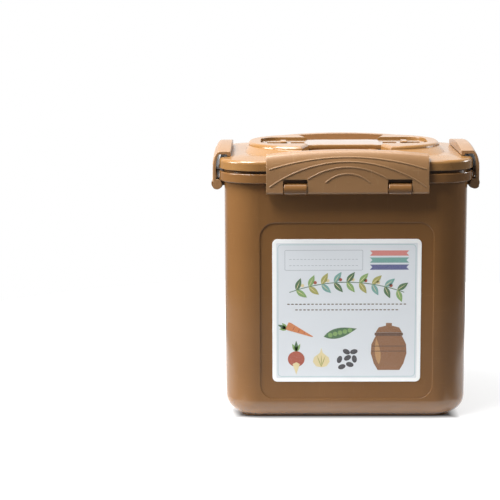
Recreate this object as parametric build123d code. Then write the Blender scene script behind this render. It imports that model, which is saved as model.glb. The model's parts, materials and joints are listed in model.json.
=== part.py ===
import os
from math import cos, radians, sin

from build123d import *

# Container: an upright box with rounded corners, straight inside so that the press lid can slide
rim_width = 222.0
rim_depth = 164.0
rim_overhang = 4.3
rim_underside_height = 210.6
rim_band_height = 8.2
rim_skirt_thickness = 1.9
rim_edge_radius = 0.9
body_corner_radius = 30.0
body_wall = 2.4
body_floor = 2.8
bottom_radius = 15.0
collar_edge_radius = 0.7
foot_height = 1.8
foot_inset = 13.0
foot_width = 4.0

# Shallow panels on the front and the back, and the label that lies in the front one
panel_width = 151.0
panel_top_height = 176.0
panel_bottom_height = 19.0
panel_corner_radius = 13.0
panel_depth = 0.7
label_side_margin = 10.7
label_top_margin = 14.4
label_bottom_margin = 15.6
label_corner_radius = 4.4
label_thickness = 0.3

# Hinge line of the latches, just outside and below the rim band
hinge_offset = 2.3
hinge_drop = 4.3
knuckle_radius = 5.2
knuckle_width = 19.4
knuckle_web_drop = 1.8
pin_radius = 2.2
pin_clearance = 0.08
snap_mouth_share = 0.84

# Latches: a plate with a hooked flange, arched along its top edge and rounded over to its face
long_latch_length = 139.6
short_latch_length = 100.0
latch_face_offset = 3.6
latch_plate = 2.8
latch_flange = 2.6
latch_end_rise = 29.05
latch_crown = 3.95
latch_shoulder_run = 6.2
latch_shoulder_drop = 15.5
latch_heel_radius = 4.5
latch_end_radius = 0.8
lip_reach = 12.2
lip_thickness = 3.0
lip_clearance = 0.35
lip_edge_radius = 0.7
window_width = 21.0
window_rise = 8.5
window_corner_radius = 1.2
window_centre_share = 0.643
bead_width = 0.9
bead_height = 0.4
bead_root = 0.5
bead_peak_shares = (0.859, 0.756, 0.631, 0.479)
bead_end_shares = (0.581, 0.177, 0.36, 0.273)
bead_reach_shares = (0.962, 0.962, 0.488, 0.273)

# Outer lid: skirt, crowned deck, plug that guides it into the collar
lid_gap = 2.6
lid_skirt_height = 8.9
lid_skirt_thickness = 2.2
lid_deck = 2.4
lid_edge_radius = 3.0
lid_crown = 1.9
crown_inset = 4.0
crown_run = 17.0
plug_clearance = 0.6
plug_wall = 2.0
plug_drop = 6.4
gasket_width = 4.0
gasket_thickness = 2.0
seat_clearance = 0.06

# Raised handle seat on the lid: two C-shaped ends round a trough, and a finger well between them
seat_base_length = 177.0
seat_base_depth = 124.0
seat_base_radius = 36.0
seat_top_length = 172.0
seat_top_depth = 112.0
seat_top_radius = 50.0
seat_height = 7.8
seat_wall = 2.4
trough_end_clearance = 1.5
trough_side_clearance = 4.5
trough_corner_radius = 16.0
trough_rise = 1.0
finger_gap = 64.0
finger_gap_flare = 8.0
well_length = 60.0
well_depth = 84.0
well_radius = 12.0
well_drop = 6.0
limb_edge_radius = 3.2
limb_round_steps = 4

# Carry strap, lying flat in the trough, held by two headed pegs in its slotted ends
strap_width = 48.0
strap_thickness = 3.4
strap_float = 1.35
grip_thickness = 4.2
grip_hinge_reach = 13.0
end_hinge_reach = 46.0
strap_reach = 73.5
strap_end_radius = 14.0
strap_edge_radius = 0.8
strap_play = 0.3
peg_reach = 54.5
peg_length = 5.0
peg_width = 9.4
peg_head_width = 15.0
peg_head_thickness = 1.4
peg_clearance = 0.4
slot_inner_reach = 51.0
slot_outer_reach = 69.0
link_slot_inner_reach = 35.5
link_slot_outer_reach = 43.0

# Press lid that slides inside the container on the food, with its wiping seal
press_lid_height = 162.0
press_wall_gap = 2.4
press_deck = 2.6
press_rim_height = 13.0
press_rim_wall = 2.4
press_groove_depth = 1.6
press_groove_height = 5.0
seal_wall_clearance = 0.3
seal_lip_thickness = 1.2
seal_web_thickness = 1.9
rib_height = 3.0
rib_wall = 1.8
rib_offset = 62.0
rib_length = 104.0

# Vent in the middle of the press lid, and the loop handle that shuts it when folded flat
vent_cup_radius = 17.0
vent_cup_drop = 5.0
vent_cup_wall = 2.2
vent_tube_radius = 5.0
vent_bore_radius = 2.4
vent_tube_drop = 1.0
loop_length = 92.0
loop_depth = 56.0
loop_bar = 8.0
loop_thickness = 6.0
loop_corner_radius = 11.0
loop_axis_rise = 5.0
loop_pin_radius = 2.2
loop_pin_length = 6.0
loop_lug_width = 5.0
loop_lug_radius = 4.4
loop_lug_gap = 0.5
loop_arm_width = 15.0
loop_arm_thickness = 3.0
loop_notch_length = 26.0
loop_notch_depth = 2.6
loop_edge_radius = 1.2
pad_radius = 6.6
pad_stem_radius = 2.4
pad_clearance = 0.1

overrun = 20.0


def inset(size, by):
    return (size[0] - 2 * by, size[1] - 2 * by, size[2] - by)


def block(size, low, high):
    return Pos(0, 0, low) * extrude(RectangleRounded(*size), high - low)


def ring(size, thickness, low, high):
    return block(size, low, high) - block(inset(size, thickness), low - overrun, high + overrun)


def box(x_low, x_high, y_low, y_high, z_low, z_high):
    middle = Pos((x_low + x_high) / 2, (y_low + y_high) / 2, (z_low + z_high) / 2)
    return middle * Box(x_high - x_low, y_high - y_low, z_high - z_low)


def rod(radius, x_low, x_high):
    return Pos((x_low + x_high) / 2, 0, 0) * Rot(0, 90, 0) * Cylinder(radius, x_high - x_low)


rim = (rim_width, rim_depth, body_corner_radius + rim_overhang)
body = inset(rim, rim_overhang)
cavity = inset(body, body_wall)
rim_top = rim_underside_height + rim_band_height
lid_low = rim_top + lid_gap
lid_edge_top = lid_low + lid_skirt_height
lid_under = lid_edge_top - lid_deck
collar_top = lid_under - gasket_thickness - seat_clearance
floor_top = foot_height + body_floor
hinge_height = rim_underside_height - hinge_drop
panel_height = panel_top_height - panel_bottom_height

sides = {}
for turn, name in enumerate(("front", "right", "back", "left")):
    if turn % 2 == 0:
        sides[name] = (90 * turn, rim_depth, long_latch_length)
    else:
        sides[name] = (90 * turn, rim_width, short_latch_length)


def at_side(angle, span):
    return Rot(0, 0, angle) * Pos(0, -span / 2 - hinge_offset, hinge_height)


def hinge_knuckle():
    wall_reach = hinge_offset + rim_overhang + body_wall / 2
    barrel = rod(knuckle_radius, -knuckle_width / 2, knuckle_width / 2)
    web = box(-knuckle_width / 2, knuckle_width / 2, 0, wall_reach, -knuckle_web_drop, knuckle_radius)
    bore = rod(pin_radius + pin_clearance, -knuckle_width, knuckle_width)
    mouth = pin_radius * snap_mouth_share
    slit = box(-knuckle_width, knuckle_width, -mouth, mouth, -overrun, 0)
    return barrel + web - bore - slit


def window_centres(length):
    return (-window_centre_share * length / 2, window_centre_share * length / 2)


def make_container():
    shell = block(body, foot_height, collar_top)
    shell = fillet(shell.edges().group_by(Axis.Z)[0], bottom_radius)
    hollow = block(cavity, floor_top, collar_top + overrun)
    hollow = fillet(hollow.edges().group_by(Axis.Z)[0], bottom_radius - body_wall)
    band = block(rim, rim_underside_height, rim_top)
    band = fillet(band.edges().group_by(Axis.Z)[0] + band.edges().group_by(Axis.Z)[-1], rim_edge_radius)
    under = inset(rim, rim_skirt_thickness)
    band = band - block(under, rim_underside_height - overrun, rim_top - rim_skirt_thickness)
    foot = ring(inset(body, foot_inset), foot_width, 0, floor_top)
    solid = shell + band + foot
    for angle, span, length in sides.values():
        for centre in window_centres(length):
            solid = solid + at_side(angle, span) * Pos(centre, 0, 0) * hinge_knuckle()
    solid = solid - hollow
    outline = RectangleRounded(panel_width, panel_height, panel_corner_radius)
    for angle in (0, 180):
        face = Rot(0, 0, angle) * Pos(0, -body[1] / 2 + panel_depth, panel_bottom_height + panel_height / 2)
        solid = solid - face * extrude(Plane.XZ * outline, overrun)
    top_edges = solid.edges().group_by(Axis.Z)[-1]
    return fillet(top_edges, collar_edge_radius)


def make_label():
    width = panel_width - 2 * label_side_margin
    height = panel_height - label_bottom_margin - label_top_margin
    outline = RectangleRounded(width, height, label_corner_radius)
    face = Pos(0, -body[1] / 2 + panel_depth, panel_bottom_height + label_bottom_margin + height / 2)
    return face * extrude(Plane.XZ * outline, label_thickness)


deck_top = lid_edge_top + lid_crown
seat_top = deck_top + seat_height
trough_floor = deck_top + trough_rise
well_floor = deck_top - well_drop
trough_width = strap_width + 2 * trough_side_clearance
trough_length = 2 * (strap_reach + trough_end_clearance)
plug = inset(cavity, plug_clearance)
lip_under = lid_edge_top + lid_crown * (lip_reach - hinge_offset - crown_inset) / crown_run + lip_clearance


def arched_block(length, half_width, by_face, by_roof, y_in):
    half = length / 2
    radius = (half * half + latch_crown * latch_crown) / (2 * latch_crown)
    face = -latch_face_offset + by_face
    run = latch_shoulder_run - by_face
    drop = latch_shoulder_drop - by_roof
    crest = radius - by_roof
    shoulder = EllipticalCenterArc((face + run, crest - drop), run, drop, start_angle=90, arc_size=90)
    outline = Polyline((face + run, crest), (y_in, crest), (y_in, 0), (face, 0), (face, crest - drop))
    axis_height = latch_end_rise + latch_crown - radius
    section = Pos(0, 0, axis_height) * (Plane.YZ * make_face([shoulder, outline]))
    dome = revolve(section, Axis((0, 0, axis_height), (0, 1, 0)), 360)
    top = axis_height + crest
    return dome & box(-half_width, half_width, face, y_in, 0, top)


def bead_band(reach, end, peak):
    rise = peak - end
    radius = (reach * reach + rise * rise) / (2 * rise)
    band = Circle(radius + bead_width / 2) - Circle(radius - bead_width / 2)
    high = peak + bead_width
    frame = Pos(0, (end + high) / 2) * Rectangle(2 * reach, high - end)
    return (Pos(0, peak - radius) * band) & frame


def latch_beads(length):
    height = latch_end_rise + latch_crown + latch_heel_radius
    outer = arched_block(length, length, -bead_height, -bead_height, 0)
    skin = outer - arched_block(length, length, bead_root, bead_root, overrun)
    beads = []
    for reach, end, peak in zip(bead_reach_shares, bead_end_shares, bead_peak_shares):
        band = bead_band(reach * length / 2, end * height - latch_heel_radius, peak * height - latch_heel_radius)
        beads.append(extrude(Plane.XZ.offset(-overrun) * band, 2 * overrun) & skin)
    return beads


def make_latch(length):
    half = length / 2
    lip_low = lip_under - hinge_height
    solid = arched_block(length, half, 0, 0, lip_reach)
    for end_face in (solid.faces().sort_by(Axis.X)[0], solid.faces().sort_by(Axis.X)[-1]):
        outer_edges = end_face.edges().sort_by(Axis.Z)[1:].sort_by(Axis.Y)[:-1]
        solid = fillet(outer_edges, latch_end_radius)
    solid = solid - arched_block(length, length, latch_plate, latch_flange, lip_reach - lip_thickness)
    solid = solid - box(-length, length, lip_reach - 2 * lip_thickness, lip_reach + overrun, -overrun, lip_low)
    lip_edges = solid.edges().filter_by(Axis.X).group_by(Axis.Y)
    solid = fillet(lip_edges[-1].sort_by(Axis.Z)[0], lip_edge_radius)
    for bead in latch_beads(length):
        solid = solid + bead
    barrel = rod(latch_heel_radius, -half, half)
    solid = solid + (barrel - box(-length, length, -overrun, -latch_face_offset, -overrun, overrun))
    for centre in window_centres(length):
        window = box(centre - window_width / 2, centre + window_width / 2,
                     -overrun, overrun, -overrun, window_rise)
        corners = window.edges().filter_by(Axis.Y).group_by(Axis.Z)[-1]
        solid = solid - fillet(corners, window_corner_radius)
        solid = solid + rod(pin_radius, centre - window_width / 2, centre + window_width / 2)
    return solid


def seat_loft(by, low, high):
    base = inset((seat_base_length, seat_base_depth, seat_base_radius), by)
    top = inset((seat_top_length, seat_top_depth, seat_top_radius), by)
    outlines = [Pos(0, 0, low) * RectangleRounded(*base)]
    for turn in range(limb_round_steps + 1):
        angle = radians(90 * turn / limb_round_steps)
        level = Pos(0, 0, high - limb_edge_radius * (1 - sin(angle)))
        outlines.append(level * RectangleRounded(*inset(top, limb_edge_radius * (1 - cos(angle)))))
    return loft(outlines, ruled=True)


def gap_outline(by):
    wall = trough_width / 2
    far = seat_base_depth / 2
    slope = finger_gap_flare / (far - wall)
    waist = finger_gap / 2 + by - slope * wall
    wide = waist + slope * rim_depth
    right = [(wide, -rim_depth), (waist, 0), (wide, rim_depth)]
    left = [(-x, -y) for x, y in right]
    return make_face(Polyline(*right, *left, close=True))


def gap_cut():
    outlines = [Pos(0, 0, deck_top) * gap_outline(0)]
    for turn in range(limb_round_steps + 1):
        angle = radians(90 * turn / limb_round_steps)
        level = Pos(0, 0, seat_top - limb_edge_radius * (1 - sin(angle)))
        outlines.append(level * gap_outline(limb_edge_radius * (1 - cos(angle))))
    return loft(outlines, ruled=True)


def make_lid():
    solid = block(rim, lid_low, lid_edge_top)
    solid = fillet(solid.edges().group_by(Axis.Z)[-1], lid_edge_radius)
    crown_base = Pos(0, 0, lid_edge_top) * RectangleRounded(*inset(rim, crown_inset))
    crown_top = Pos(0, 0, deck_top) * RectangleRounded(*inset(rim, crown_inset + crown_run))
    solid = solid + loft([crown_base, crown_top], ruled=True)
    solid = solid - block(inset(rim, lid_skirt_thickness), lid_low - overrun, lid_under)
    solid = solid + ring(plug, plug_wall, lid_under - plug_drop, lid_under + lid_deck / 2)
    well = (well_length, well_depth, well_radius)
    tub = block(inset(well, -lid_deck), well_floor - lid_deck, deck_top)
    well_space = block(well, well_floor, seat_top + overrun)
    solid = solid + tub - well_space
    trough = block((trough_length, trough_width, trough_corner_radius), trough_floor, seat_top + overrun)
    limbs = seat_loft(0, deck_top, seat_top) - trough - gap_cut() - well_space
    cells = seat_loft(seat_wall, lid_under - overrun, seat_top - seat_wall)
    cells = cells - box(-rim_width, rim_width, -trough_width / 2 - seat_wall, trough_width / 2 + seat_wall,
                        lid_under - 2 * overrun, seat_top)
    gap = extrude(gap_outline(seat_wall + limb_edge_radius), 4 * overrun)
    cells = cells - Pos(0, 0, lid_under - 2 * overrun) * gap
    solid = solid + limbs - cells
    strap_top = trough_floor + strap_float + strap_thickness
    for side in (-1, 1):
        middle = Pos(side * peg_reach, 0, 0)
        head_low = strap_top + peg_clearance
        post = box(-peg_length / 2, peg_length / 2, -peg_width / 2, peg_width / 2, trough_floor, head_low)
        head = box(-peg_length / 2, peg_length / 2, -peg_head_width / 2, peg_head_width / 2,
                   head_low, head_low + peg_head_thickness)
        head = fillet(head.edges().filter_by(Axis.X).group_by(Axis.Z)[-1], peg_head_thickness / 2)
        solid = solid + middle * (post + head)
    return solid


def make_gasket():
    return ring(inset(plug, -gasket_width), gasket_width, lid_under - gasket_thickness, lid_under)


strap_low = trough_floor + strap_float
strap_middle = strap_low + strap_thickness / 2


def make_grip():
    half = grip_hinge_reach - strap_thickness / 2 - strap_play
    solid = box(-half, half, -strap_width / 2, strap_width / 2, strap_low, strap_low + grip_thickness)
    return fillet(solid.edges().filter_by(Axis.X), strap_edge_radius)


def make_link(side):
    span = end_hinge_reach - grip_hinge_reach
    outline = Plane.XZ * SlotCenterToCenter(span, strap_thickness)
    solid = extrude(outline, strap_width / 2, both=True)
    solid = Pos(grip_hinge_reach + span / 2, 0, strap_middle) * solid
    half = peg_width / 2 + peg_clearance
    solid = solid - box(link_slot_inner_reach, link_slot_outer_reach, -half, half,
                        strap_low - overrun, strap_low + overrun)
    return solid if side > 0 else mirror(solid, Plane.YZ)


def make_strap_end(side):
    start = end_hinge_reach + strap_thickness / 2 + strap_play
    solid = box(start, strap_reach, -strap_width / 2, strap_width / 2,
                strap_low, strap_low + strap_thickness)
    corners = solid.edges().filter_by(Axis.Z).group_by(Axis.X)[-1]
    solid = fillet(corners, strap_end_radius)
    half = peg_width / 2 + peg_clearance
    solid = solid - box(slot_inner_reach, slot_outer_reach, -half, half,
                        strap_low - overrun, strap_low + overrun)
    return solid if side > 0 else mirror(solid, Plane.YZ)


press = inset(cavity, press_wall_gap)
press_top = press_lid_height
press_under = press_top - press_deck
groove_low = press_under + press_groove_depth
groove_high = groove_low + press_groove_height
loop_axis_height = press_top + loop_axis_rise
loop_axis_y = loop_depth / 2 - loop_bar / 2


def make_press_lid():
    solid = block(press, press_under, press_top + press_rim_height)
    solid = solid - block(inset(press, press_rim_wall + press_groove_depth), press_top,
                          press_top + press_rim_height + overrun)
    groove = block(inset(press, -overrun), groove_low, groove_high)
    solid = solid - (groove - block(inset(press, press_groove_depth), groove_low - overrun,
                                    groove_high + overrun))
    cup = Pos(0, 0, press_top - vent_cup_drop - press_deck) * extrude(
        Circle(vent_cup_radius + vent_cup_wall), vent_cup_drop + press_deck)
    bowl = Pos(0, 0, press_top - vent_cup_drop) * extrude(Circle(vent_cup_radius), overrun)
    tube = Pos(0, 0, press_top - vent_cup_drop) * extrude(
        Circle(vent_tube_radius), vent_cup_drop - vent_tube_drop)
    bore = Pos(0, 0, press_top - overrun) * extrude(Circle(vent_bore_radius), 2 * overrun)
    solid = solid + cup - bowl + tube - bore
    for side in (-1, 1):
        solid = solid + box(side * rib_offset - rib_wall / 2, side * rib_offset + rib_wall / 2,
                            -rib_length / 2, rib_length / 2, press_top, press_top + rib_height)
        lug_start = side * (loop_length / 2 + loop_lug_gap)
        ends = sorted((lug_start, lug_start + side * loop_lug_width))
        post = box(ends[0], ends[1], -loop_lug_radius, loop_lug_radius, -loop_axis_rise, 0)
        lug = rod(loop_lug_radius, *ends) + post
        lug = lug - rod(loop_pin_radius + pin_clearance, ends[0] - overrun, ends[1] + overrun)
        solid = solid + Pos(0, loop_axis_y, loop_axis_height) * lug
    return solid


def make_seal():
    gap = seal_wall_clearance
    web = ring(inset(press, press_groove_depth - seal_web_thickness), seal_web_thickness,
               groove_low, groove_high)
    lip_size = inset(cavity, gap)
    lip_depth = press_wall_gap - gap + press_groove_depth
    low_lip = ring(lip_size, lip_depth, groove_low, groove_low + seal_lip_thickness)
    high_lip = ring(lip_size, lip_depth, groove_high - seal_lip_thickness, groove_high)
    return web + low_lip + high_lip


def make_loop():
    low = loop_axis_height - loop_thickness / 2
    high = low + loop_thickness
    size = (loop_length, loop_depth, loop_corner_radius)
    solid = ring(size, loop_bar, low, high)
    notch = box(-loop_notch_length / 2, loop_notch_length / 2,
                -loop_depth, -loop_depth / 2 + loop_notch_depth, low - overrun, high + overrun)
    solid = solid - notch
    solid = fillet(solid.edges().group_by(Axis.Z)[0] + solid.edges().group_by(Axis.Z)[-1], loop_edge_radius)
    arm = box(-loop_arm_width / 2, loop_arm_width / 2, 0, loop_axis_y, low, low + loop_arm_thickness)
    arm = arm + Pos(0, 0, low) * extrude(Circle(loop_arm_width / 2), loop_arm_thickness)
    solid = solid + arm
    for side in (-1, 1):
        start = side * (loop_length / 2 - loop_bar)
        stop = side * (loop_length / 2 + loop_pin_length)
        ends = sorted((start, stop))
        solid = solid + Pos(0, loop_axis_y, loop_axis_height) * rod(loop_pin_radius, *ends)
    socket = Pos(0, 0, low - overrun) * extrude(Circle(pad_stem_radius), overrun + loop_arm_thickness)
    return solid - socket


def make_pad():
    low = loop_axis_height - loop_thickness / 2
    tube_top = press_top - vent_tube_drop
    disc = Pos(0, 0, tube_top + pad_clearance) * extrude(Circle(pad_radius), low - tube_top - pad_clearance)
    stem = Pos(0, 0, low) * extrude(Circle(pad_stem_radius), loop_arm_thickness)
    return disc + stem


nodes = {
    "container_body": make_container(),
    "front_label": make_label(),
    "outer_lid": make_lid(),
    "lid_gasket": make_gasket(),
    "strap_grip": make_grip(),
    "strap_link_left": make_link(-1),
    "strap_link_right": make_link(1),
    "strap_end_left": make_strap_end(-1),
    "strap_end_right": make_strap_end(1),
    "press_lid": make_press_lid(),
    "press_lid_seal": make_seal(),
    "vent_handle": make_loop(),
    "vent_pad": make_pad(),
}
for name, (angle, span, length) in sides.items():
    nodes["latch_" + name] = at_side(angle, span) * make_latch(length)

os.makedirs("parts", exist_ok=True)
for name, shape in nodes.items():
    export_step(shape, "parts/" + name + ".step")
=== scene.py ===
import json
import math

import bmesh
import bpy
from mathutils import Matrix, Vector


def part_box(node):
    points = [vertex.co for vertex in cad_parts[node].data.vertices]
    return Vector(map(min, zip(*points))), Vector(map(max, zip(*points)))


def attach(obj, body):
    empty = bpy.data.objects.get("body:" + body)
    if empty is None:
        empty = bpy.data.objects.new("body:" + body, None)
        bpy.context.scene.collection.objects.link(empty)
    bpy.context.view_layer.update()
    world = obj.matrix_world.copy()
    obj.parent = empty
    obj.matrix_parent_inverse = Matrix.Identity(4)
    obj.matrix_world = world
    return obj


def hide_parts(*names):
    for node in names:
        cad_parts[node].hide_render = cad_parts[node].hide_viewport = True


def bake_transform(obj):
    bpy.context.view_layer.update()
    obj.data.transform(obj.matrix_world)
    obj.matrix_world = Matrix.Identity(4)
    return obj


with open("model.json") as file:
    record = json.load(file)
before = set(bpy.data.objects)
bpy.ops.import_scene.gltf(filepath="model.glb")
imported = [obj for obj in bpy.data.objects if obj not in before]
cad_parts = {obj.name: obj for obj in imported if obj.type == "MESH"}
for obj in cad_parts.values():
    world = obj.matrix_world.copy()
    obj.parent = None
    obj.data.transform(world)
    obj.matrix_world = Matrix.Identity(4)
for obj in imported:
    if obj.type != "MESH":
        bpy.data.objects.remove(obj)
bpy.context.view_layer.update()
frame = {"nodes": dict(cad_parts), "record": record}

nodes = frame["nodes"]
scene = bpy.context.scene
scene.view_settings.view_transform = "Standard"
mm = 0.001
print("frame loaded,", len(nodes), "nodes")


# small helpers for node trees and meshes
def linear(code):
    channels = [int(code[i:i + 2], 16) / 255 for i in (1, 3, 5)]
    curve = [c / 12.92 if c <= 0.04045 else ((c + 0.055) / 1.055) ** 2.4 for c in channels]
    return (*curve, 1.0)


def addNode(tree, kind, inputs=None, **settings):
    node = tree.nodes.new(kind)
    for key, value in settings.items():
        setattr(node, key, value)
    for key, value in (inputs or {}).items():
        if isinstance(value, bpy.types.NodeSocket):
            tree.links.new(value, node.inputs[key])
        else:
            node.inputs[key].default_value = value
    return node


def startGroup(name, inputs, outputs):
    group = bpy.data.node_groups.new(name, "ShaderNodeTree")
    for label, value in inputs.items():
        kind = "NodeSocketColor" if isinstance(value, tuple) else "NodeSocketFloat"
        socket = group.interface.new_socket(name=label, in_out="INPUT", socket_type=kind)
        socket.default_value = value
    for label, kind in outputs.items():
        group.interface.new_socket(name=label, in_out="OUTPUT", socket_type=kind)
    return group, addNode(group, "NodeGroupInput"), addNode(group, "NodeGroupOutput")


def useGroup(tree, group, **values):
    node = addNode(tree, "ShaderNodeGroup", node_tree=group)
    for key, value in values.items():
        node.inputs[key].default_value = value
    return node


def mathNode(tree, operation, a, b=0.0, clamp=False):
    node = addNode(tree, "ShaderNodeMath", operation=operation, use_clamp=clamp)
    for place, value in enumerate((a, b)):
        if isinstance(value, bpy.types.NodeSocket):
            tree.links.new(value, node.inputs[place])
        else:
            node.inputs[place].default_value = value
    return node.outputs[0]


def mixColour(tree, amount, a, b):
    node = addNode(tree, "ShaderNodeMix", data_type="RGBA")
    for key, value in (("Factor", amount), ("A", a), ("B", b)):
        socket = next(s for s in node.inputs if s.name == key and s.enabled)
        if isinstance(value, bpy.types.NodeSocket):
            tree.links.new(value, socket)
        else:
            socket.default_value = value
    return next(s for s in node.outputs if s.enabled)


def ramp(tree, value, low, high):
    ends = {"Value": value, "From Min": low, "From Max": high}
    return addNode(tree, "ShaderNodeMapRange", ends, clamp=True).outputs["Result"]


def meshObject(name, bm, materials):
    mesh = bpy.data.meshes.new(name)
    bmesh.ops.recalc_face_normals(bm, faces=bm.faces)
    bm.to_mesh(mesh)
    bm.free()
    for material in materials:
        mesh.materials.append(material)
    piece = bpy.data.objects.new(name, mesh)
    scene.collection.objects.link(piece)
    return piece


def smoothFaces(piece, degrees):
    mesh = piece.data
    mesh.shade_smooth()
    mesh.set_sharp_from_angle(angle=math.radians(degrees))


def buildMouldGrain():
    # fine tool texture, soft sink marks and cloudy colour of moulded plastic
    group, given, out = startGroup(
        "mouldGrain",
        {"Grain Scale": 1500.0, "Cloud Scale": 16.0, "Sink Scale": 13.0},
        {"Grain": "NodeSocketFloat", "Cloud": "NodeSocketFloat", "Sink": "NodeSocketFloat"},
    )
    place = addNode(group, "ShaderNodeTexCoord").outputs["Object"]
    for label, detail in (("Grain", 3.0), ("Cloud", 4.0), ("Sink", 1.0)):
        noise = addNode(group, "ShaderNodeTexNoise",
                        {"Vector": place, "Scale": given.outputs[label + " Scale"], "Detail": detail})
        group.links.new(noise.outputs["Fac"], out.inputs[label])
    return group


def buildSoftEdge():
    # rounds the look of sharp moulded edges and marks where they are, for paler edges that are partly edge
    # wear and partly a painted highlight
    group, given, out = startGroup(
        "softEdge", {"Radius": 0.0006}, {"Normal": "NodeSocketVector", "Rim": "NodeSocketFloat"}
    )
    bevel = addNode(group, "ShaderNodeBevel", {"Radius": given.outputs["Radius"]}, samples=6)
    flat = addNode(group, "ShaderNodeNewGeometry")
    dot = addNode(group, "ShaderNodeVectorMath", operation="DOT_PRODUCT")
    group.links.new(bevel.outputs["Normal"], dot.inputs[0])
    group.links.new(flat.outputs["Normal"], dot.inputs[1])
    group.links.new(bevel.outputs["Normal"], out.inputs["Normal"])
    rim = ramp(group, dot.outputs["Value"], 0.995, 0.86)    # from where the bend begins to a full edge
    group.links.new(rim, out.inputs["Rim"])
    return group


def buildHandling():
    # fine crossed rub marks and dull finger patches
    group, given, out = startGroup(
        "handlingMarks", {"Rub Scale": 60.0}, {"Rubs": "NodeSocketFloat", "Patches": "NodeSocketFloat"}
    )
    place = addNode(group, "ShaderNodeTexCoord").outputs["Object"]
    strokes = []
    directions = (((0.3, 0.2, 0.5), (1.0, 1.0, 14.0)), ((0.1, 0.9, 0.4), (13.0, 1.0, 1.0)))
    for turn, stretch in directions:
        laid = addNode(group, "ShaderNodeMapping", {"Vector": place, "Rotation": turn, "Scale": stretch})
        noise = addNode(group, "ShaderNodeTexNoise",
                        {"Vector": laid.outputs[0], "Scale": given.outputs["Rub Scale"], "Detail": 2.0})
        strokes.append(ramp(group, noise.outputs["Fac"], 0.64, 0.72))
    patch = addNode(group, "ShaderNodeTexNoise",
                    {"Vector": place, "Scale": 34.0, "Detail": 3.0, "Roughness": 0.6})
    group.links.new(mathNode(group, "MAXIMUM", *strokes), out.inputs["Rubs"])
    group.links.new(ramp(group, patch.outputs["Fac"], 0.42, 0.66), out.inputs["Patches"])
    return group


mouldGrain = buildMouldGrain()
softEdge = buildSoftEdge()
handlingMarks = buildHandling()
print("shared effects ready")


# every moulded piece takes one of these, by the material slot of its part
# the container, lid, latches and strap share one brown plastic; the container's brown is set darker as painted
# shade, and the lid's, latches' and strap's browns are set lighter as painted light
finishes = {
    "container_plastic": {
        "colour": (0.194, 0.091, 0.0295), "cloud": (0.180, 0.083, 0.0262), "rubbedAndEdgeHighlight": (0.30, 0.156, 0.058),
        "roughness": 0.15, "spread": 0.03, "grain": 1500.0, "grainDepth": 0.000008,
        "polish": 0.0, "sinkDepth": 0.0004, "edge": 0.0007,
    },
    "lid_plastic": {
        "colour": (0.286, 0.142, 0.043), "cloud": (0.265, 0.130, 0.0385), "rubbedAndEdgeHighlight": (0.40, 0.21, 0.076),
        "roughness": 0.24, "spread": 0.05, "grain": 1600.0, "grainDepth": 0.000010,
        "polish": 0.35, "sinkDepth": 0.0003, "edge": 0.0008,
    },
    # the latch's pale rubbed colour paints a highlight along its edges and beads, and also colours its rub
    # marks
    "latch_plastic": {
        "colour": (0.278, 0.146, 0.060), "cloud": (0.259, 0.135, 0.054), "rubbedAndEdgeHighlight": (0.62, 0.42, 0.24),
        "roughness": 0.40, "spread": 0.05, "grain": 1700.0, "grainDepth": 0.000010,
        "polish": 0.4, "sinkDepth": 0.0002, "edge": 0.0006,
    },
    "strap_plastic": {
        "colour": (0.290, 0.147, 0.048), "cloud": (0.268, 0.135, 0.0425), "rubbedAndEdgeHighlight": (0.40, 0.22, 0.082),
        "roughness": 0.18, "spread": 0.06, "grain": 1900.0, "grainDepth": 0.000014,
        "polish": 1.0, "sinkDepth": 0.0002, "edge": 0.0,    # its mesh has round edges
    },
    "press_lid_plastic": {
        "colour": (0.290, 0.236, 0.098), "cloud": (0.262, 0.212, 0.086), "rubbedAndEdgeHighlight": (0.40, 0.33, 0.16),
        "roughness": 0.34, "spread": 0.08, "grain": 1500.0, "grainDepth": 0.000014,
        "polish": 0.0, "sinkDepth": 0.0003, "edge": 0.0006,
    },
    "vent_handle_plastic": {
        "colour": (0.610, 0.535, 0.340), "cloud": (0.570, 0.495, 0.308), "rubbedAndEdgeHighlight": (0.70, 0.63, 0.44),
        "roughness": 0.34, "spread": 0.08, "grain": 1500.0, "grainDepth": 0.000014,
        "polish": 0.0, "sinkDepth": 0.0003, "edge": 0.0006,
    },
    "silicone": {
        "colour": (0.68, 0.65, 0.56), "cloud": (0.63, 0.60, 0.51), "rubbedAndEdgeHighlight": (0.75, 0.73, 0.66),
        "roughness": 0.58, "spread": 0.08, "grain": 2400.0, "grainDepth": 0.00003,
        "polish": 0.0, "sinkDepth": 0.0002, "edge": 0.0003,
    },
}


mouldLook = {
    "ior": 1.49, "polishRoughness": 0.14,
    "cloudRange": (0.36, 0.66),
    "rubAmount": 0.10, "edgeHighlightAmount": 0.28,      # how far rubbed places turn paler, and edges, where the paler colour is partly edge wear and partly a painted highlight
    "sinkStrength": 0.6, "grainStrength": 0.8,
}


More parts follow.
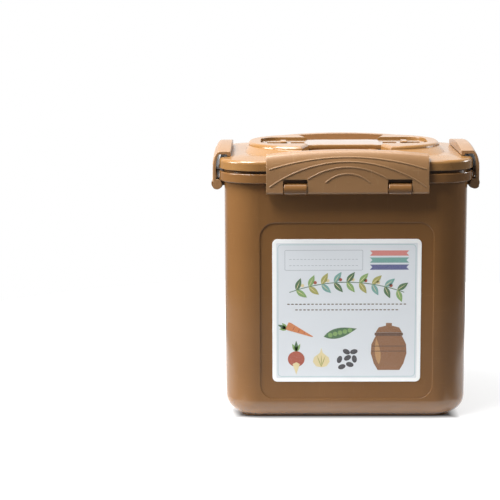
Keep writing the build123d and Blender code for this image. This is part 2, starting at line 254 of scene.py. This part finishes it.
def mouldedFinish(name, look):
    material = bpy.data.materials.new(name)
    material.use_nodes = True
    tree = material.node_tree
    shader = tree.nodes["Principled BSDF"]
    shader.inputs["IOR"].default_value = mouldLook["ior"]
    shader.inputs["Coat Weight"].default_value = look["polish"]     # bright only at a flat angle
    shader.inputs["Coat Roughness"].default_value = mouldLook["polishRoughness"]
    grain = useGroup(tree, mouldGrain, **{"Grain Scale": look["grain"]})
    edge = useGroup(tree, softEdge, Radius=look["edge"])
    marks = useGroup(tree, handlingMarks)
    cloudy = ramp(tree, grain.outputs["Cloud"], *mouldLook["cloudRange"])
    clouded = mixColour(tree, cloudy, (*look["colour"], 1), (*look["cloud"], 1))
    rubShare = mathNode(tree, "MULTIPLY", marks.outputs["Rubs"], mouldLook["rubAmount"])
    # edges turn paler: partly edge wear, partly a painted highlight along them
    edgeHighlightShare = mathNode(tree, "MULTIPLY", edge.outputs["Rim"], mouldLook["edgeHighlightAmount"])
    share = mathNode(tree, "ADD", rubShare, edgeHighlightShare, clamp=True)
    tree.links.new(mixColour(tree, share, clouded, (*look["rubbedAndEdgeHighlight"], 1)), shader.inputs["Base Color"])
    dull = mathNode(tree, "MULTIPLY", marks.outputs["Patches"], look["spread"])
    fine = mathNode(tree, "MULTIPLY", grain.outputs["Grain"], look["spread"])
    rough = mathNode(tree, "ADD", mathNode(tree, "ADD", dull, fine), look["roughness"] - look["spread"] / 2)
    tree.links.new(rough, shader.inputs["Roughness"])
    sink = addNode(tree, "ShaderNodeBump",
                   {"Height": grain.outputs["Sink"], "Normal": edge.outputs["Normal"],
                    "Distance": look["sinkDepth"], "Strength": mouldLook["sinkStrength"]})
    tooth = addNode(tree, "ShaderNodeBump",
                    {"Height": grain.outputs["Grain"], "Normal": sink.outputs["Normal"],
                     "Distance": look["grainDepth"], "Strength": mouldLook["grainStrength"]})
    tree.links.new(tooth.outputs["Normal"], shader.inputs["Normal"])
    return material


plastics = {name: mouldedFinish(name, look) for name, look in finishes.items()}
for part in frame["record"]["subparts"]:
    if part["material_slot"] in plastics:
        for slot in nodes[part["node"]].material_slots:
            slot.material = plastics[part["material_slot"]]
print("plastics on the moulded pieces")


# film with a plain printed design of leaves, ribbons and a place to write on, in mm
labelLook = {
    "rim": 3.4,             # white edge
    "cornerRadius": 4.4,
    "edgeRound": 0.12,
    "inkLift": 0.02,        # each printed layer lies this much higher
    "inkSunk": 0.5,         # share of a layer that reaches into what is under it
    "ior": 1.47, "roughness": 0.27, "rippleRough": 0.22, "rippleDepth": 0.00012, "rippleStrength": 0.5,
    "paleTone": 0.82, "paleShare": 0.16,                # what the fine dots of an ink turn to
    "border": {"inset": 4.6, "radius": 3.4, "width": 0.5},
    "writing": {"at": (-20.0, 45.0), "half": (34.0, 9.0), "radius": 1.2, "width": 0.35,
                "rows": (45.8, 40.3), "dashes": 19, "first": -49.0, "pitch": 3.2, "dash": (2.0, 0.35)},
    "ribbons": {"size": (34.0, 4.6), "notch": 2.2, "across": 37.0,
                "rows": {"salmon": 51.2, "teal": 45.0, "navy": 38.8}},
    "stitches": {"rows": ((6.0, 30), (1.0, 26)), "pitch": 3.5, "dash": (2.3, 1.0)},     # height, count
    "garland": {"half": 50.0, "peak": 25.5, "fall": 9.0, "steps": 28, "stemHalf": 0.35,
                "sprigs": 9, "first": -44.0, "pitch": 11.0, "lean": 52.0,
                "leaf": (11.5, 5.0), "vein": (9.0, 0.5), "berry": 1.5, "berryLift": 2.4,
                "inks": ("leafDark", "leafLight", "olive", "teal")},
    "greens": {"width": 3.0, "fan": (-26, 0, 26)},
    "carrot": {"at": (-52.0, -13.0), "lean": -24,
               "greensAt": (-52.0, -16.0), "greensLean": 155, "greens": (7, 9, 7)},
    "pod": {"at": (-20.0, -23.0), "lean": 14, "size": (30.0, 9.0),
            "peas": 5, "first": 6.0, "pitch": 4.4, "pea": 2.0},
    "beet": {"at": (-44.0, -43.0), "half": (7.4, 7.0), "tipAt": (-44.0, -47.5),
             "greensAt": (-44.0, -36.5), "greensLean": 90, "greens": (8, 10, 8)},
    "onion": {"at": (-22.0, -42.5), "veinAt": (-22.0, -50.0), "vein": (11.0, 0.7), "leans": (70, 90, 110)},
    "beans": {"half": (3.4, 2.2),                       # across, up and lean of each
              "laid": ((-4, -50, 20), (3, -48, -15), (-6, -43.5, 70), (1, -42, 30), (7, -43, 100),
                       (0, -36.5, -30), (6.5, -36.5, 15))},
    "crock": {"at": (37.0, -34.0), "shine": (24.0, 5.0), "shineAt": (-8.5, -14.0), "shineLean": 96,
              "neck": (25.0, 3.0), "neckUp": 13.2, "lidUp": 14.8, "line": (30.0, 0.7), "linesUp": (-2.0, 2.5)},
    "inks": {
        "rimWhite": "#FAFCFC", "field": "#DEE3E8", "border": "#A9C6C8", "outline": "#9AA3AA",
        "dash": "#6A5A4C", "salmon": "#D58078", "teal": "#6FA39B", "navy": "#54598C",
        "leafDark": "#3F6A3C", "leafLight": "#7FA45A", "olive": "#A3A04C", "brick": "#A8492C",
        "cream": "#E3D3A0", "bean": "#2F2B33", "carrot": "#CE7A3A",
        "crock": "#8A5A2E", "crockDark": "#5E3B20", "crockLight": "#B98A52",
    },
}


def buildPrintDots():
    # printed ink breaks into fine dots, and the film over it is slightly uneven
    group, given, out = startGroup(
        "printDots", {"Dot Scale": 3800.0}, {"Dots": "NodeSocketFloat", "Ripple": "NodeSocketFloat"}
    )
    place = addNode(group, "ShaderNodeTexCoord").outputs["Object"]
    dots = addNode(group, "ShaderNodeTexVoronoi", {"Vector": place, "Scale": given.outputs["Dot Scale"]})
    ripple = addNode(group, "ShaderNodeTexNoise", {"Vector": place, "Scale": 55.0, "Detail": 2.0})
    group.links.new(ramp(group, dots.outputs["Distance"], 0.25, 0.75), out.inputs["Dots"])
    group.links.new(ripple.outputs["Fac"], out.inputs["Ripple"])
    return group


printDots = buildPrintDots()


def inkFinish(name, code):
    material = bpy.data.materials.new("ink_" + name)
    material.use_nodes = True
    tree = material.node_tree
    shader = tree.nodes["Principled BSDF"]
    shader.inputs["IOR"].default_value = labelLook["ior"]
    dots = useGroup(tree, printDots)
    ink = linear(code)
    paler = tuple(c + (labelLook["paleTone"] - c) * labelLook["paleShare"] for c in ink[:3]) + (1.0,)
    tree.links.new(mixColour(tree, dots.outputs["Dots"], ink, paler), shader.inputs["Base Color"])
    rough = mathNode(tree, "MULTIPLY", dots.outputs["Ripple"], labelLook["rippleRough"])
    tree.links.new(mathNode(tree, "ADD", rough, labelLook["roughness"]), shader.inputs["Roughness"])
    bump = addNode(tree, "ShaderNodeBump",
                   {"Height": dots.outputs["Ripple"], "Distance": labelLook["rippleDepth"],
                    "Strength": labelLook["rippleStrength"]})
    tree.links.new(bump.outputs["Normal"], shader.inputs["Normal"])
    return material


def roundedOutline(halfWidth, halfHeight, radius, steps=8):
    points = []
    for quarter, (sx, sz) in enumerate(((1, 1), (-1, 1), (-1, -1), (1, -1))):
        for i in range(steps + 1):
            angle = math.radians(90 * quarter + 90 * i / steps)
            points.append((sx * (halfWidth - radius) + radius * math.cos(angle),
                           sz * (halfHeight - radius) + radius * math.sin(angle)))
    return points


def turned(points, degrees, at=(0, 0)):
    c, s = math.cos(math.radians(degrees)), math.sin(math.radians(degrees))
    return [(at[0] + u * c - w * s, at[1] + u * s + w * c) for u, w in points]


def leafPoints(length, width, steps=9):
    shares = [i / steps for i in range(steps + 1)]
    upper = [(length * share, width / 2 * math.sin(math.pi * share ** 0.8)) for share in shares]
    return upper + [(u, -w) for u, w in reversed(upper[1:-1])]


def ovalPoints(halfLength, halfWidth, steps=20):
    turn = 2 * math.pi / steps
    return [(halfLength * math.cos(turn * i), halfWidth * math.sin(turn * i)) for i in range(steps)]


def barPoints(length, width):
    return roundedOutline(length / 2, width / 2, width * 0.45, steps=3)     # ends nearly half round


def ribbonPoints(length, height, notch):
    a, b = length / 2, height / 2
    return [(-a, -b), (a, -b), (a - notch, 0), (a, b), (-a, b), (-a + notch, 0)]


class LabelPrint:
    # gathers flat printed shapes, in mm from the label's middle, into one mesh
    def __init__(self, node):
        low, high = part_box(node)
        self.middle = (low + high) / 2
        self.front = low.y
        self.back = high.y
        self.half = ((high.x - low.x) / 2 / mm, (high.z - low.z) / 2 / mm)
        self.bm = bmesh.new()
        self.inks = []

    def ink(self, name):
        if name not in self.inks:
            self.inks.append(name)
        return self.inks.index(name)

    def loop(self, points, y):
        across, upward = self.middle.x, self.middle.z
        return [self.bm.verts.new((across + u * mm, y, upward + w * mm)) for u, w in points]

    def band(self, first, second, name):
        for i in range(len(first)):
            j = (i + 1) % len(first)
            face = self.bm.faces.new((first[i], first[j], second[j], second[i]))
            face.material_index = self.ink(name)

    def heights(self, layer):
        steps = (layer, layer - 1 - labelLook["inkSunk"])
        return [self.front - step * labelLook["inkLift"] * mm for step in steps]

    def shape(self, name, points, layer=1):
        # a slip of ink with closed sides, so that it stays a solid
        high, low = self.heights(layer)
        top, foot = self.loop(points, high), self.loop(points, low)
        self.bm.faces.new(top).material_index = self.ink(name)
        self.bm.faces.new(list(reversed(foot))).material_index = self.ink(name)
        self.band(foot, top, name)

    def ringShape(self, name, halfWidth, halfHeight, radius, width, at=(0, 0), layer=1):
        high, low = self.heights(layer)
        outer = turned(roundedOutline(halfWidth, halfHeight, radius), 0, at)
        inside = max(radius - width, 0.1)       # never quite sharp
        inner = turned(roundedOutline(halfWidth - width, halfHeight - width, inside), 0, at)
        corners = ((outer, low), (outer, high), (inner, high), (inner, low))
        loops = [self.loop(points, y) for points, y in corners]
        for first, second in zip(loops, loops[1:] + loops[:1]):
            self.band(first, second, name)


def printFilm(sheet):
    width, height = sheet.half
    radius, edge, rim = labelLook["cornerRadius"], labelLook["edgeRound"], labelLook["rim"]
    front = sheet.front
    soft = edge * 0.3       # half way round the edge
    profile = ((0, sheet.back), (0, front + edge * mm), (soft, front + soft * mm), (edge, front), (rim, front))
    rings = []
    for inset, y in profile:
        rings.append(sheet.loop(roundedOutline(width - inset, height - inset, radius - inset), y))
    for first, second in zip(rings, rings[1:]):
        sheet.band(first, second, "rimWhite")
    sheet.bm.faces.new(rings[-1]).material_index = sheet.ink("field")
    sheet.bm.faces.new(list(reversed(rings[0]))).material_index = sheet.ink("rimWhite")


def printWriting(sheet):
    border, box = labelLook["border"], labelLook["writing"]
    width, height = (half - border["inset"] for half in sheet.half)
    sheet.ringShape("border", width, height, border["radius"], border["width"])
    sheet.ringShape("outline", *box["half"], box["radius"], box["width"], at=box["at"])
    for row in box["rows"]:
        for i in range(box["dashes"]):
            across = box["first"] + box["pitch"] * i
            sheet.shape("outline", turned(barPoints(*box["dash"]), 0, (across, row)))
    ribbons = labelLook["ribbons"]
    ribbon = ribbonPoints(*ribbons["size"], ribbons["notch"])
    for ink, row in ribbons["rows"].items():
        sheet.shape(ink, turned(ribbon, 0, (ribbons["across"], row)))
    stitches = labelLook["stitches"]
    for row, count in stitches["rows"]:
        for i in range(count):
            across = (i - (count - 1) / 2) * stitches["pitch"]
            sheet.shape("dash", turned(barPoints(*stitches["dash"]), 0, (across, row)))


def printGarland(sheet):
    look = labelLook["garland"]
    half, steps, thin = look["half"], look["steps"], look["stemHalf"]

    def stem(u):
        return look["peak"] - look["fall"] * (u / half) ** 2

    path = [(u, stem(u)) for u in (-half + 2 * half * i / steps for i in range(steps + 1))]
    sheet.shape("leafDark", [(u, w + thin) for u, w in reversed(path)] + [(u, w - thin) for u, w in path])
    for i in range(look["sprigs"]):
        u = look["first"] + look["pitch"] * i
        slope = math.degrees(math.atan(-2 * look["fall"] * u / half ** 2))
        for side in (1, -1):
            ink = look["inks"][(i + (side < 0)) % len(look["inks"])]
            lean = slope + side * look["lean"]
            sheet.shape(ink, turned(leafPoints(*look["leaf"]), lean, (u, stem(u))), layer=2)
            sheet.shape("cream", turned(leafPoints(*look["vein"]), lean, (u, stem(u))), layer=3)
        if i < look["sprigs"] - 1:      # a berry between two sprigs
            between = u + look["pitch"] / 2
            at = (between, stem(between) + look["berryLift"])
            berry = ovalPoints(look["berry"], look["berry"], 14)
            sheet.shape("brick" if i % 2 else "cream", turned(berry, 0, at), layer=2)


def printGreens(sheet, look):
    for length, turn in zip(look["greens"], labelLook["greens"]["fan"]):
        leaf = leafPoints(length, labelLook["greens"]["width"])
        ink = "leafLight" if turn else "leafDark"
        sheet.shape(ink, turned(leaf, look["greensLean"] + turn, look["greensAt"]))


def printCarrot(sheet):
    look = labelLook["carrot"]
    root = [(0, -3.2), (2, -3.6), (24, -0.5), (25, 0), (24, 0.5), (2, 3.6), (0, 3.2)]
    printGreens(sheet, look)
    sheet.shape("carrot", turned(root, look["lean"], look["at"]), layer=2)
    for u, half in ((6, 1.8), (11, 1.4), (16, 1.0)):
        stroke = [(u, -half), (u + 0.6, -half), (u + 0.6, half), (u, half)]
        sheet.shape("brick", turned(stroke, look["lean"], look["at"]), layer=3)


def printPod(sheet):
    look = labelLook["pod"]
    sheet.shape("leafDark", turned(leafPoints(*look["size"]), look["lean"], look["at"]))
    for i in range(look["peas"]):
        seat = turned([(look["first"] + look["pitch"] * i, 0)], look["lean"], look["at"])[0]
        sheet.shape("leafLight", turned(ovalPoints(look["pea"], look["pea"], 14), 0, seat), layer=2)


def printBeet(sheet):
    look = labelLook["beet"]
    tip = [(-3.2, 0), (0, -9.5), (3.2, 0), (0, 1.6)]
    printGreens(sheet, look)
    sheet.shape("brick", turned(ovalPoints(*look["half"]), 0, look["at"]), layer=2)
    sheet.shape("cream", turned(tip, 0, look["tipAt"]), layer=3)


def printOnion(sheet):
    look = labelLook["onion"]
    bulb = [(0, 9.5), (1.3, 5.0), (6.5, 1.0), (7.4, -3.0), (4.6, -7.0), (0, -8.0)]
    bulb += [(-u, w) for u, w in reversed(bulb[1:-1])]
    sheet.shape("cream", turned(list(reversed(bulb)), 0, look["at"]))
    for lean in look["leans"]:
        sheet.shape("olive", turned(leafPoints(*look["vein"]), lean, look["veinAt"]), layer=2)


def printBeans(sheet):
    look = labelLook["beans"]
    for i, (u, w, lean) in enumerate(look["laid"]):
        sheet.shape("bean", turned(ovalPoints(*look["half"], 16), lean, (u, w)), layer=1 + i % 2)


def printCrock(sheet):
    look = labelLook["crock"]
    across, up = look["at"]
    side = [(9.5, -19.0), (13.0, -13.0), (15.6, -4.0), (15.2, 4.0), (12.4, 10.0), (11.0, 12.0)]
    body = [(-u, w) for u, w in side] + list(reversed(side))
    lid = [(-11.5, 0), (11.5, 0), (9.0, 4.4), (2.6, 6.0), (2.6, 8.4), (-2.6, 8.4), (-2.6, 6.0), (-9.0, 4.4)]
    shineAt = (across + look["shineAt"][0], up + look["shineAt"][1])
    sheet.shape("crock", turned(list(reversed(body)), 0, look["at"]))
    sheet.shape("crockLight", turned(leafPoints(*look["shine"]), look["shineLean"], shineAt), layer=2)
    sheet.shape("crockDark", turned(barPoints(*look["neck"]), 0, (across, up + look["neckUp"])), layer=2)
    sheet.shape("crock", turned(lid, 0, (across, up + look["lidUp"])))
    for row in look["linesUp"]:
        sheet.shape("crockDark", turned(barPoints(*look["line"]), 0, (across, up + row)), layer=3)


def makeLabel():
    sheet = LabelPrint("front_label")
    for printShape in (printFilm, printWriting, printGarland, printCarrot, printPod, printBeet,
                       printOnion, printBeans, printCrock):
        printShape(sheet)
    inks = [inkFinish(name, labelLook["inks"][name]) for name in sheet.inks]
    piece = meshObject("printed_label", sheet.bm, inks)
    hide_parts("front_label")
    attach(piece, "container")
    print("label printed,", len(piece.data.polygons), "faces")


makeLabel()


# one soft band, made in four pieces that meet at its middle and at the cut, in mm
strapLook = {
    "halfWidth": 24.0, "thickness": 3.4, "edgeRound": 0.8,
    "gripThickness": 4.2, "gripCrown": 0.4, "gripHalf": 22.0, "gripRamp": 12.0,
    "reach": 73.5, "endRadius": 14.0,
    "slots": ((35.5, 47.5), (51.0, 69.0)), "slotHalf": 5.1,
    "cut": 29.5,            # where the inner and the outer piece meet
    "gripBend": (6.0, 21.0), "endBend": (38.0, 54.0),
    "rowStep": 1.0, "endAngles": (40, 55, 66, 75, 83), "columnShares": (0.0, 0.35, 0.7, 1.0),
    "smoothAngle": 34, "rimAngle": 50, "rimSegments": 3,
}


def strapRows(start, stop):
    rows = {start, stop}
    step = strapLook["rowStep"]
    rows.update(start + step * i for i in range(1, int((stop - start) / step)))
    for slot in strapLook["slots"]:
        rows.update(x for x in slot if start < x < stop)
    if stop == strapLook["reach"]:
        turn = strapLook["endRadius"]
        rows.update(stop - turn * (1 - math.sin(math.radians(angle))) for angle in strapLook["endAngles"])
    ordered = sorted(rows)
    return [x for i, x in enumerate(ordered) if i == 0 or x - ordered[i - 1] > 0.04]    # no slivers


def strapSection(x):
    # half width, thickness in the middle, and how much thinner the sides are
    look = strapLook
    half = look["halfWidth"]
    run = x - (look["reach"] - look["endRadius"])
    if run > 0:
        half = half - look["endRadius"] + math.sqrt(max(look["endRadius"] ** 2 - run ** 2, 0.0))
    share = min(max((look["gripHalf"] + look["gripRamp"] - x) / look["gripRamp"], 0.0), 1.0)
    swell = share * share * (3 - 2 * share)
    thick = look["thickness"] + (look["gripThickness"] - look["thickness"]) * swell
    return half, thick, look["gripCrown"] * swell


def strapFaces(bm, rows, columns, top, bottom):
    middle = len(columns) // 2 - 1

    def filled(i, j):
        if not (0 <= i < len(rows) - 1 and 0 <= j < len(columns) - 1):
            return False
        centre = (rows[i] + rows[i + 1]) / 2
        return not (j == middle and any(a < centre < b for a, b in strapLook["slots"]))

    for i in range(len(rows) - 1):
        for j in range(len(columns) - 1):
            if not filled(i, j):
                continue
            bm.faces.new((top[i][j], top[i + 1][j], top[i + 1][j + 1], top[i][j + 1]))
            bm.faces.new((bottom[i][j], bottom[i][j + 1], bottom[i + 1][j + 1], bottom[i + 1][j]))
            for di, dj, a, b in ((-1, 0, (i, j), (i, j + 1)), (1, 0, (i + 1, j), (i + 1, j + 1)),
                                 (0, -1, (i, j), (i + 1, j)), (0, 1, (i, j + 1), (i + 1, j + 1))):
                if not filled(i + di, j + dj):      # a side wall, outside or in a slot
                    upper = [top[row][column] for row, column in (a, b)]
                    bm.faces.new(upper + [bottom[row][column] for row, column in (b, a)])


def roundRims(bm):
    # round edges all along, but not where two pieces meet
    look = strapLook
    cuts = [x * mm for x in (0.0, look["cut"])]

    def onCut(edge):
        return any(all(abs(abs(v.co.x) - cut) < 1e-6 for v in edge.verts) for cut in cuts)

    def level(edge):
        return abs(edge.verts[0].co.z - edge.verts[1].co.z) < 0.5 * mm

    rims = [edge for edge in bm.edges if len(edge.link_faces) == 2 and not onCut(edge)
            and edge.calc_face_angle() > math.radians(look["rimAngle"]) and level(edge)]
    bmesh.ops.bevel(bm, geom=rims, offset=look["edgeRound"] * mm, segments=look["rimSegments"],
                    profile=0.5, affect="EDGES", clamp_overlap=True)


def strapPiece(name, side, start, stop, replaced):
    look = strapLook
    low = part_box("strap_grip")[0].z
    slotShare = look["slotHalf"] / look["halfWidth"]
    rows = strapRows(start, stop)
    halfColumns = [slotShare + share * (1 - slotShare) for share in look["columnShares"]]
    columns = [-c for c in reversed(halfColumns)] + halfColumns
    bm = bmesh.new()
    top, bottom = [], []
    for x in rows:
        half, thick, crown = strapSection(x)
        line = []
        for c in columns:
            spare = (abs(c) - slotShare) / (1 - slotShare)
            y = math.copysign(look["slotHalf"] + spare * (half - look["slotHalf"]), c)
            line.append((side * x * mm, y * mm, low + (thick - crown * c ** 2) * mm))
        top.append([bm.verts.new(point) for point in line])
        bottom.append([bm.verts.new((*point[:2], low)) for point in line])
    strapFaces(bm, rows, columns, top, bottom)
    bmesh.ops.recalc_face_normals(bm, faces=bm.faces)
    roundRims(bm)
    piece = meshObject(name, bm, [plastics["strap_plastic"]])
    smoothFaces(piece, look["smoothAngle"])
    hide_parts(*replaced)
    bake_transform(piece)


for side, word in ((-1, "left"), (1, "right")):
    grip, link, end = "strap_grip", "strap_link_" + word, "strap_end_" + word
    cut, reach = strapLook["cut"], strapLook["reach"]
    strapPiece("strap_inner_" + word, side, 0.0, cut, (grip, link))
    strapPiece("strap_outer_" + word, side, cut, reach, (end,))
print("strap laid in the seat")


# floor, room and lamps, in metres and watts
stageLook = {
    "floorRadius": 0.60, "floorRoughness": 0.7,
    "floorNear": (0.76, 0.76, 0.76), "floorFar": (0.22, 0.22, 0.22), "floorFade": (0.032, 0.068),
    "footprint": (0.092, 0.063), "contact": 0.010,      # painted contact shadow: the floor's glow and mirrored white are held back right under the container
    "glow": 0.75, "far": (0.16, 0.36),                  # white to the camera, all of it further out
    "sheenFade": (0.035, 0.075),                        # mirrored white in front
    "sheenBehind": (-0.10, -0.04), "sheenReach": (0.28, 0.37),      # and beside and behind
    "ambient": 0.11, "lampsAim": (0, 0, 0.12),
    "roomBright": (0.0, 0.98, 0.20), "roomRange": (0.60, 0.92),     # side of the room that is lit white
    "roomDim": 0.18, "roomLit": 0.82,
    "lamps": {
        "sideLamp": {"at": (-1.06, -0.20, 0.62), "size": 0.5, "power": 12.3},
        "topLamp": {"at": (-0.85, -0.55, 1.80), "size": 1.1, "power": 75.0},
        "highLamp": {"at": (-0.10, 0.10, 1.45), "size": 1.1, "power": 14.0},
        "backLamp": {"at": (1.70, 0.55, 0.75), "size": 0.6, "power": 16.0},
    },
}


def makeFloor():
    bm = bmesh.new()
    bmesh.ops.create_circle(bm, cap_ends=True, segments=96, radius=stageLook["floorRadius"])
    material = bpy.data.materials.new("studio_floor")
    material.use_nodes = True
    tree = material.node_tree
    shader = tree.nodes["Principled BSDF"]
    shader.inputs["Roughness"].default_value = stageLook["floorRoughness"]
    place = addNode(tree, "ShaderNodeTexCoord").outputs["Object"]
    spread = addNode(tree, "ShaderNodeSeparateXYZ", {"Vector": place})
    beside = [mathNode(tree, "SUBTRACT", mathNode(tree, "ABSOLUTE", spread.outputs[axis]), half)
              for axis, half in zip(("X", "Y"), stageLook["footprint"])]
    outside = mathNode(tree, "MAXIMUM", *beside)            # how far a point lies from the foot
    clear = ramp(tree, outside, 0.0, stageLook["contact"])  # painted contact shadow right under the container
    near, far = ((*stageLook[key], 1) for key in ("floorNear", "floorFar"))
    paths = addNode(tree, "ShaderNodeLightPath")
    colourFade = ramp(tree, outside, *stageLook["floorFade"])
    # one even colour to the camera, so that the cast shadow stays whole
    even = mathNode(tree, "MAXIMUM", colourFade, paths.outputs["Is Camera Ray"])
    tree.links.new(mixColour(tree, even, near, far), shader.inputs["Base Color"])
    away = addNode(tree, "ShaderNodeVectorMath", operation="LENGTH")
    tree.links.new(place, away.inputs[0])
    distance = away.outputs["Value"]
    # white to the camera, so that the floor has no far edge
    rest = mathNode(tree, "MULTIPLY", ramp(tree, distance, *stageLook["far"]), 1.0 - stageLook["glow"])
    glow = mathNode(tree, "ADD", mathNode(tree, "MULTIPLY", clear, stageLook["glow"]), rest)
    # white that the plastic mirrors
    ahead = mathNode(tree, "SUBTRACT", 1.0, ramp(tree, outside, *stageLook["sheenFade"]))
    behind = ramp(tree, spread.outputs["Y"], *stageLook["sheenBehind"])
    reach = mathNode(tree, "SUBTRACT", 1.0, ramp(tree, distance, *stageLook["sheenReach"]))
    wide = mathNode(tree, "MULTIPLY", behind, reach)
    sheen = mathNode(tree, "MULTIPLY", clear, mathNode(tree, "MAXIMUM", ahead, wide))
    seen = mathNode(tree, "MAXIMUM", paths.outputs["Is Camera Ray"], paths.outputs["Is Transmission Ray"])
    direct = mathNode(tree, "MULTIPLY", glow, seen)
    mirrored = mathNode(tree, "MULTIPLY", sheen, paths.outputs["Is Glossy Ray"])
    glowing = addNode(tree, "ShaderNodeEmission", {"Strength": mathNode(tree, "ADD", direct, mirrored)})
    both = addNode(tree, "ShaderNodeAddShader")
    tree.links.new(shader.outputs[0], both.inputs[0])
    tree.links.new(glowing.outputs[0], both.inputs[1])
    tree.links.new(both.outputs[0], tree.nodes["Material Output"].inputs["Surface"])
    floor = meshObject("studio_floor", bm, [material])


def makeWorld():
    world = bpy.data.worlds.new("studio_world")
    scene.world = world
    world.use_nodes = True
    tree = world.node_tree
    tree.nodes.clear()
    paths = addNode(tree, "ShaderNodeLightPath")
    plain = mathNode(tree, "MAXIMUM", paths.outputs["Is Camera Ray"], paths.outputs["Is Transmission Ray"])
    towards = addNode(tree, "ShaderNodeVectorMath", operation="DOT_PRODUCT")
    tree.links.new(addNode(tree, "ShaderNodeTexCoord").outputs["Generated"], towards.inputs[0])
    towards.inputs[1].default_value = stageLook["roomBright"]
    lit = ramp(tree, towards.outputs["Value"], *stageLook["roomRange"])
    room = mathNode(tree, "ADD", mathNode(tree, "MULTIPLY", lit, stageLook["roomLit"]), stageLook["roomDim"])
    soft = addNode(tree, "ShaderNodeBackground", {"Color": (1, 1, 1, 1), "Strength": stageLook["ambient"]})
    gloss = addNode(tree, "ShaderNodeBackground", {"Color": (1, 1, 1, 1), "Strength": room})
    white = addNode(tree, "ShaderNodeBackground", {"Color": (1, 1, 1, 1), "Strength": 1.0})
    first = addNode(tree, "ShaderNodeMixShader")
    second = addNode(tree, "ShaderNodeMixShader")
    for place, socket in enumerate((paths.outputs["Is Glossy Ray"], soft.outputs[0], gloss.outputs[0])):
        tree.links.new(socket, first.inputs[place])
    for place, socket in enumerate((plain, first.outputs[0], white.outputs[0])):
        tree.links.new(socket, second.inputs[place])
    tree.links.new(second.outputs[0], addNode(tree, "ShaderNodeOutputWorld").inputs["Surface"])


def makeLamps():
    target = Vector(stageLook["lampsAim"])
    for name, look in stageLook["lamps"].items():
        data = bpy.data.lights.new(name, "AREA")
        data.shape = "DISK"
        data.size = look["size"]
        data.energy = look["power"]
        lamp = bpy.data.objects.new(name, data)
        lamp.location = look["at"]
        lamp.rotation_euler = (target - lamp.location).to_track_quat("-Z", "Y").to_euler()
        scene.collection.objects.link(lamp)


cameraLook = {
    "at": (-0.064, -1.447, 0.384),
    "yaw": -0.84, "pitch": 9.60, "roll": -0.30,     # degrees
    "focalPixels": 1600.0, "pictureWidth": 500,
    "sensor": 36.0,                                 # mm
}


def makeCamera():
    yaw, pitch, roll = (math.radians(cameraLook[key]) for key in ("yaw", "pitch", "roll"))
    ahead = Vector((math.sin(yaw) * math.cos(pitch), math.cos(yaw) * math.cos(pitch), -math.sin(pitch)))
    across = Vector((math.cos(yaw), -math.sin(yaw), 0))
    upward = across.cross(ahead)
    right = across * math.cos(roll) + upward * math.sin(roll)
    up = upward * math.cos(roll) - across * math.sin(roll)
    data = bpy.data.cameras.new("photo_camera")
    data.sensor_width = cameraLook["sensor"]
    data.lens = cameraLook["sensor"] * cameraLook["focalPixels"] / cameraLook["pictureWidth"]
    data.clip_end = 50.0
    camera = bpy.data.objects.new("photo_camera", data)
    turn = Matrix((right, up, -ahead)).transposed().to_4x4()
    camera.matrix_world = Matrix.Translation(cameraLook["at"]) @ turn
    scene.collection.objects.link(camera)
    scene.camera = camera


makeFloor()
makeWorld()
makeLamps()
makeCamera()
print("stage set")
